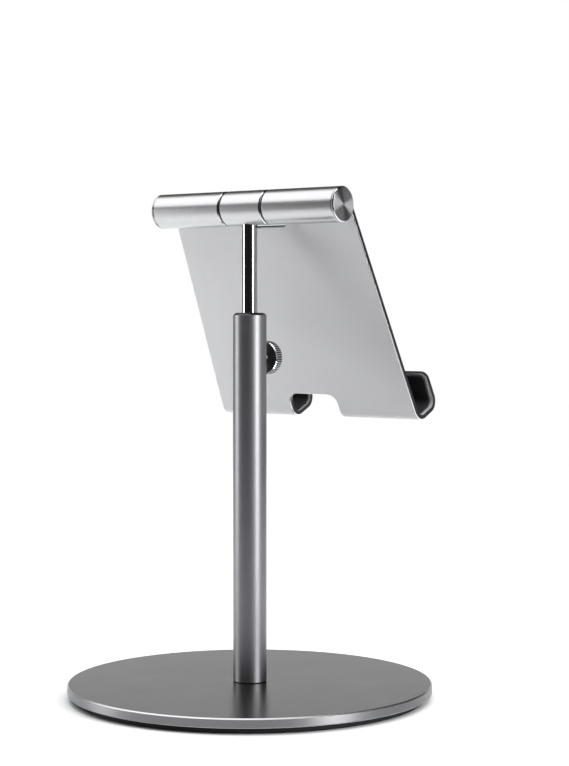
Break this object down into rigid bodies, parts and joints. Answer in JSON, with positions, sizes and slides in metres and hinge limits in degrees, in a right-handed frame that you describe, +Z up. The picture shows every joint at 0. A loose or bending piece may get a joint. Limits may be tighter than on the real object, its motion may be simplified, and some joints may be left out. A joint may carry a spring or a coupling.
{
  "type": "tablet stand",
  "caption": "Desk stand for a tablet: weighted round base, height-adjustable swivelling column with a thumbscrew lock, and a tilting bracket with padded hooks.",
  "frame": {"origin": "centre of the base's underside, on the surface the stand rests on", "axes": "+Z up along the column, X along the hinge, the user sits on the -Y side and the head leans back towards +Y"},
  "size_m": [0.15, 0.15, 0.2083],
  "materials": {
    "base_coating": "bead-blasted and coated in a dark satin grey",
    "silicone": "matt black silicone",
    "black_screw": "black oxide",
    "plain_steel": "bright zinc",
    "column_anodise": "fine-blasted, dark grey anodise",
    "brass": "turned",
    "white_plastic": "natural acetal",
    "polished_chrome": "mirror polish",
    "barrel_aluminium": "fine turned satin, clear anodise",
    "turned_aluminium": "faced on the lathe, bright chamfer",
    "bracket_anodise": "fine bead-blasted, clear anodise",
    "knob_anodise": "dark anodise, bright knurl",
    "washer_plastic": "grey filled nylon"
  },
  "bodies": {
    "stand": {"base_disc": "base_coating", "base_pad": "silicone", "base_screw": "black_screw", "foot_plug": "plain_steel", "outer_tube": "column_anodise", "guide_bush": "brass"},
    "lift": {"rod_guide": "white_plastic"},
    "post": {"lift_rod": "polished_chrome", "retaining_washer": "plain_steel", "retaining_screw": "plain_steel", "hinge_hub": "barrel_aluminium"},
    "head": {"hinge_axle": "plain_steel", "bracket": "bracket_anodise", "plate_screws": "black_screw", "front_pad": "silicone", "friction_washer_left": "washer_plastic", "friction_washer_right": "washer_plastic", "spring_washer_left": "plain_steel", "spring_washer_right": "plain_steel", "barrel_left": "barrel_aluminium", "barrel_right": "barrel_aluminium", "end_cap_left": "turned_aluminium", "end_cap_right": "turned_aluminium", "hook_pad_left": "silicone", "hook_pad_right": "silicone"},
    "clamp": {"thumb_tip": "white_plastic"},
    "thumbscrew": {"thumb_knob": "knob_anodise", "thumb_screw": "plain_steel"}
  },
  "joints": [
    {"name": "height", "type": "slide", "parent": "stand", "child": "lift", "axis": [0, 0, 1], "range_m": [-0.025, 0.065]},
    {"name": "swivel", "type": "hinge", "parent": "lift", "child": "post", "pos_m": [0, 0, 0.1], "axis": [0, 0, 1], "continuous": true},
    {"name": "tilt", "type": "hinge", "parent": "post", "child": "head", "pos_m": [0, 0, 0.201], "axis": [-1, 0, 0], "range_deg": [-6, 90]},
    {"name": "clamp_slide", "type": "slide", "parent": "stand", "child": "clamp", "axis": [0, -1, 0], "range_m": [0, 0.0014]},
    {"name": "thumb_turn", "type": "hinge", "parent": "clamp", "child": "thumbscrew", "pos_m": [0, -0.0115, 0.1396], "axis": [0, -1, 0], "range_deg": [0, 720]}
  ],
  "couplings": [
    {"joint": "thumb_turn", "follows": "clamp_slide", "rad_per_m": 8976}
  ]
}
